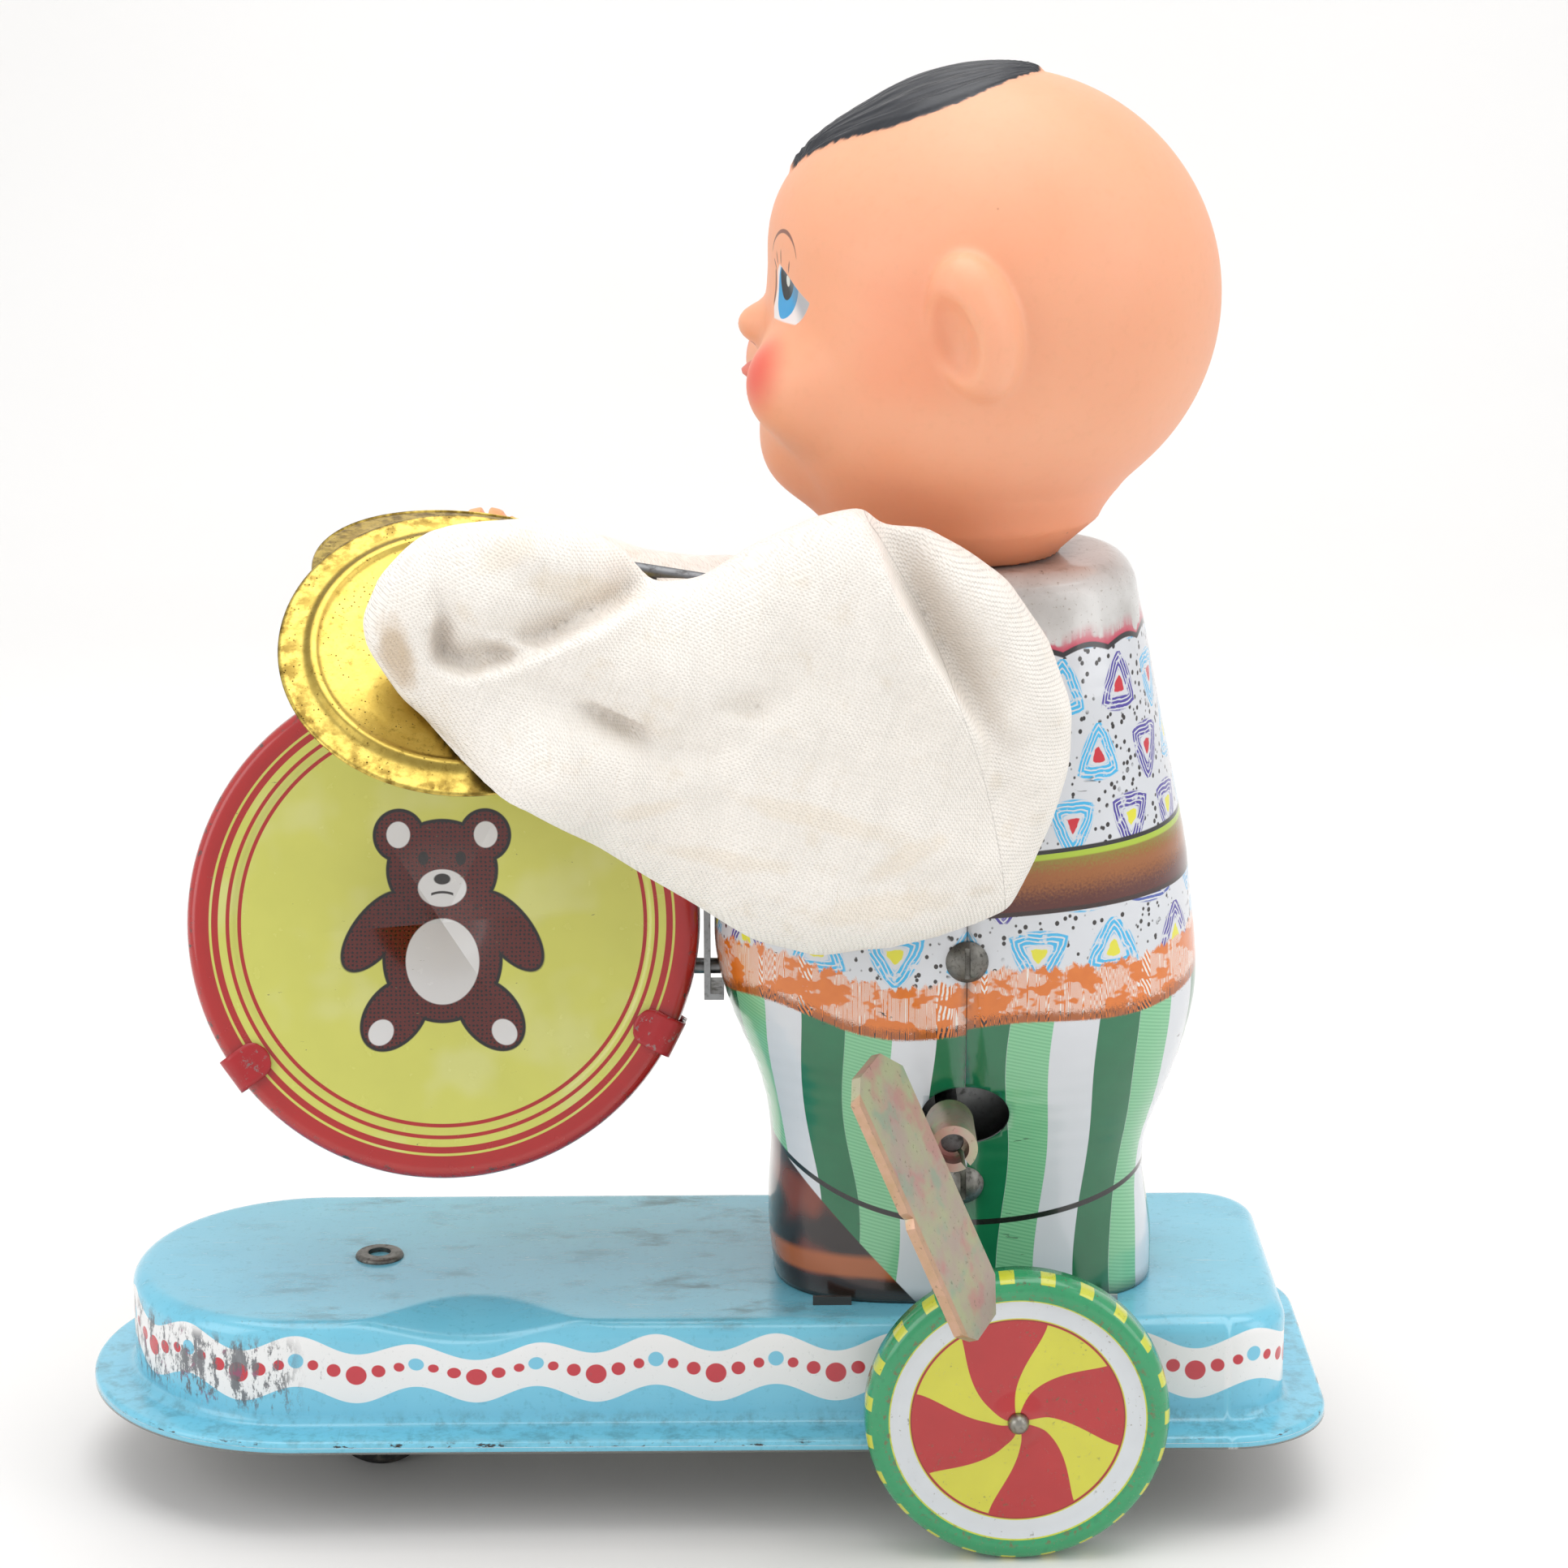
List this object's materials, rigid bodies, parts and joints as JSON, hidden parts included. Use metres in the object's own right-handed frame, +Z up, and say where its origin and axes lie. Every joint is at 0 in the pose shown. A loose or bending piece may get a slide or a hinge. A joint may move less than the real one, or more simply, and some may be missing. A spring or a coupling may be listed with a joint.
{
  "type": "wind-up cymbal player toy",
  "caption": "Wind-up tin figure with a vinyl head and cloth sleeves that claps two cymbals above a drum, riding on a wheeled tin platform.",
  "frame": {"origin": "on the ground, midway between the front roller and the rear axle, on the toy's centre plane", "axes": "+Z up, -X towards the figure's face and the platform's round end, -Y towards the figure's left side and the winding key"},
  "size_m": [0.182, 0.1019, 0.2043],
  "materials": {
    "blue_tin": "sky-blue lithographed tin, glossy, worn at the front",
    "litho_tin": "lithographed tin printed as clothes",
    "red_tin": "red and yellow lithographed tin",
    "green_tin": "green lithographed tin",
    "bare_tin": "bare tinplate",
    "steel": "nickelled and plain steel",
    "spring_steel": "blued spring steel",
    "zinc_plate": "iridescent zinc plate",
    "brass": "stamped brass",
    "brassed_tin": "gold-lacquered tin",
    "peach_vinyl": "soft satin vinyl",
    "neck_plastic": "plain moulded plastic",
    "hand_plastic": "moulded plastic",
    "roller_plastic": "black moulded plastic",
    "cotton": "off-white plain-weave cotton"
  },
  "bodies": {
    "chassis": {"platform_pan": "blue_tin", "caster_rivet": "steel", "torso_front": "litho_tin", "torso_rear": "litho_tin", "seam_screws": "steel", "screw_posts": "bare_tin", "collar_spacer": "bare_tin", "neck_plug": "neck_plastic", "drum_face_left": "red_tin", "drum_face_right": "red_tin", "drum_hoop": "bare_tin", "drum_bracket": "bare_tin", "motor_plate_left": "bare_tin", "motor_plate_right": "bare_tin", "motor_pillars": "steel", "mainspring": "spring_steel", "lever_stud": "steel", "shoulder_bridge": "bare_tin", "shoulder_pins": "steel"},
    "caster": {"caster_bracket": "bare_tin", "roller_pin": "steel"},
    "roller": {"front_roller": "roller_plastic"},
    "winder": {"winding_arbor": "steel", "winding_key": "zinc_plate", "ratchet_wheel": "steel"},
    "great_train": {"great_wheel": "brass", "click": "steel"},
    "second_train": {"second_arbor": "steel", "second_wheel": "brass", "arm_cam": "steel"},
    "axle": {"rear_axle": "steel", "axle_gear": "brass", "left_wheel_outer": "green_tin", "left_wheel_inner": "green_tin", "right_wheel_outer": "green_tin", "right_wheel_inner": "green_tin"},
    "governor": {"governor_arbor": "steel", "governor_disc": "brass"},
    "rocker": {"rocker_lever": "bare_tin"},
    "head": {"head": "peach_vinyl"},
    "arm_left": {"left_arm": "steel", "left_hand": "hand_plastic", "left_cymbal": "brassed_tin", "left_cymbal_rivet": "steel", "left_sleeve": "cotton"},
    "arm_right": {"right_arm": "steel", "right_hand": "hand_plastic", "right_cymbal": "brassed_tin", "right_cymbal_rivet": "steel", "right_sleeve": "cotton"}
  },
  "joints": [
    {"name": "caster_swivel", "type": "hinge", "parent": "chassis", "child": "caster", "pos_m": [-0.0464, 0, 0.027], "axis": [0, 0, 1], "continuous": true},
    {"name": "roller_spin", "type": "hinge", "parent": "caster", "child": "roller", "pos_m": [-0.0464, 0, 0.0075], "axis": [0, 1, 0], "continuous": true},
    {"name": "key_turn", "type": "hinge", "parent": "chassis", "child": "winder", "pos_m": [0.0372, 0, 0.0605], "axis": [0, 1, 0], "continuous": true},
    {"name": "axle_spin", "type": "hinge", "parent": "chassis", "child": "axle", "pos_m": [0.0464, 0, 0.0215], "axis": [0, 1, 0], "continuous": true},
    {"name": "great_wheel_spin", "type": "hinge", "parent": "chassis", "child": "great_train", "pos_m": [0.0372, 0, 0.0605], "axis": [0, 1, 0], "continuous": true},
    {"name": "second_arbor_spin", "type": "hinge", "parent": "chassis", "child": "second_train", "pos_m": [0.04563, 0, 0.04149], "axis": [0, 1, 0], "continuous": true},
    {"name": "governor_spin", "type": "hinge", "parent": "chassis", "child": "governor", "pos_m": [0.03095, 0, 0.03755], "axis": [0, 1, 0], "continuous": true},
    {"name": "head_turn", "type": "hinge", "parent": "chassis", "child": "head", "pos_m": [0.0395, 0, 0.1373], "axis": [0, 0, 1], "range_deg": [-20, 20]},
    {"name": "left_arm_swing", "type": "hinge", "parent": "chassis", "child": "arm_left", "pos_m": [0.033, -0.015, 0.1248], "axis": [0, 0, 1], "range_deg": [0, 16]},
    {"name": "right_arm_swing", "type": "hinge", "parent": "chassis", "child": "arm_right", "pos_m": [0.033, 0.015, 0.1248], "axis": [0, 0, -1], "range_deg": [0, 16]},
    {"name": "lever_rock", "type": "hinge", "parent": "chassis", "child": "rocker", "pos_m": [0.028, 0.014, 0.088], "axis": [0, -1, 0], "range_deg": [0, 4.1]}
  ],
  "couplings": [
    {"joint": "second_arbor_spin", "follows": "axle_spin", "ratio": -0.66667},
    {"joint": "great_wheel_spin", "follows": "axle_spin", "ratio": 0.15873},
    {"joint": "governor_spin", "follows": "axle_spin", "ratio": 2.5},
    {"joint": "right_arm_swing", "follows": "left_arm_swing", "ratio": 1},
    {"joint": "lever_rock", "follows": "left_arm_swing", "ratio": 0.249}
  ]
}
